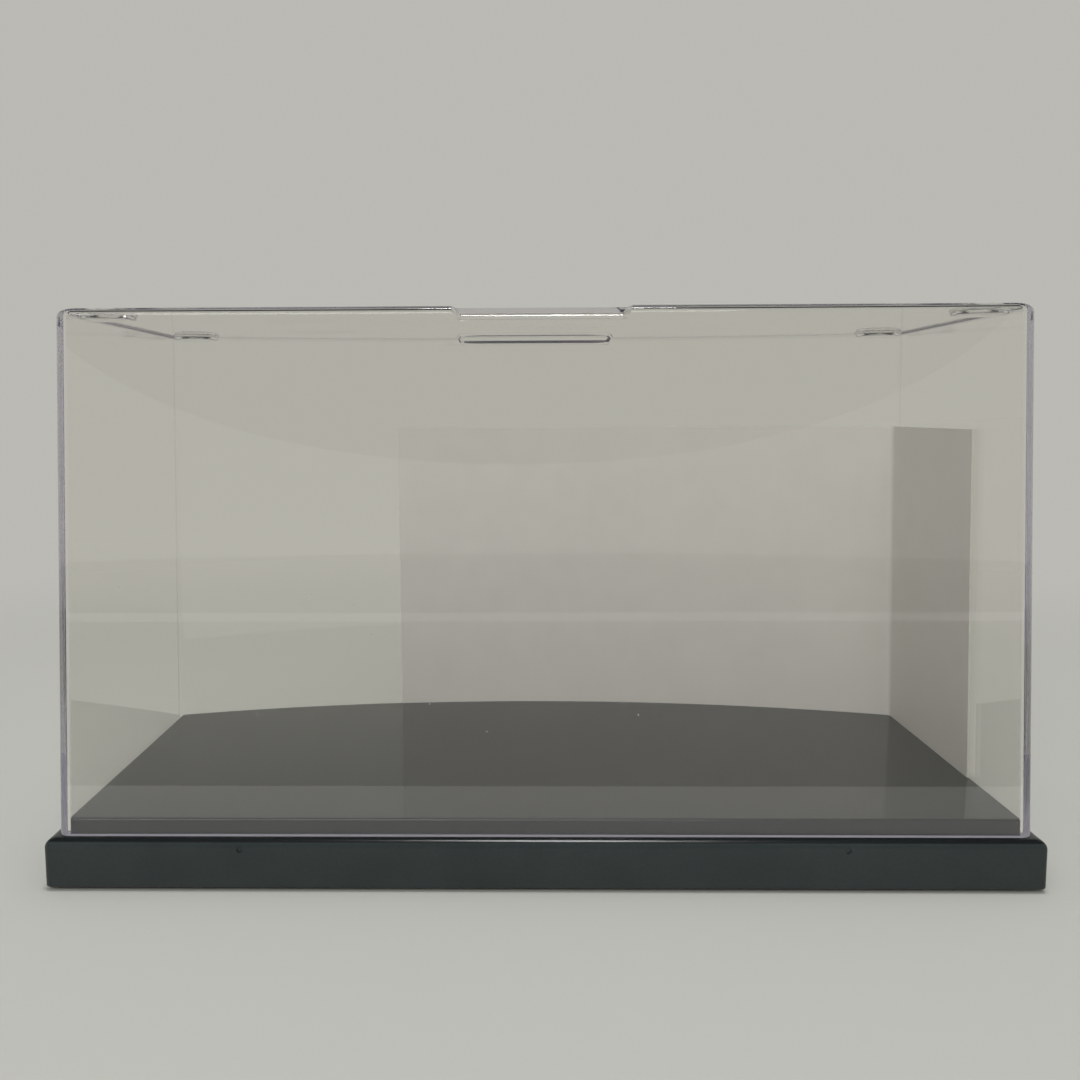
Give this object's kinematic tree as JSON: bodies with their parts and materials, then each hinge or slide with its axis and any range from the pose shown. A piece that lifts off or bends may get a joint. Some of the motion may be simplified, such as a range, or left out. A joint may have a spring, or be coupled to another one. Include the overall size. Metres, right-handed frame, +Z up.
{
  "type": "display case",
  "caption": "Clear lift-off cover with a bowed rear wall on a dark base with a raised platform, for showing a small collectable free of dust.",
  "frame": {"origin": "middle of the case's plan, on the surface that the feet stand on", "axes": "+X to the right along the width, -Y towards the flat front, +Y towards the bowed rear, +Z up"},
  "size_m": [0.21, 0.103, 0.1217],
  "materials": {
    "base_plastic": "dark slate moulded plastic, satin to gloss",
    "clear_plastic": "crystal clear moulded plastic, polished",
    "foot_rubber": "matt black rubber",
    "card": "plain uncoated card, warm off-white"
  },
  "bodies": {
    "base": {"base": "base_plastic", "foot_front_left": "foot_rubber", "foot_front_right": "foot_rubber", "foot_rear_left": "foot_rubber", "foot_rear_right": "foot_rubber", "insert_card": "card"},
    "cover": {"cover": "clear_plastic"}
  },
  "joints": [
    {"name": "cover_lift", "type": "slide", "parent": "base", "child": "cover", "axis": [0, 0, 1], "range_m": [0, 0.12]}
  ]
}
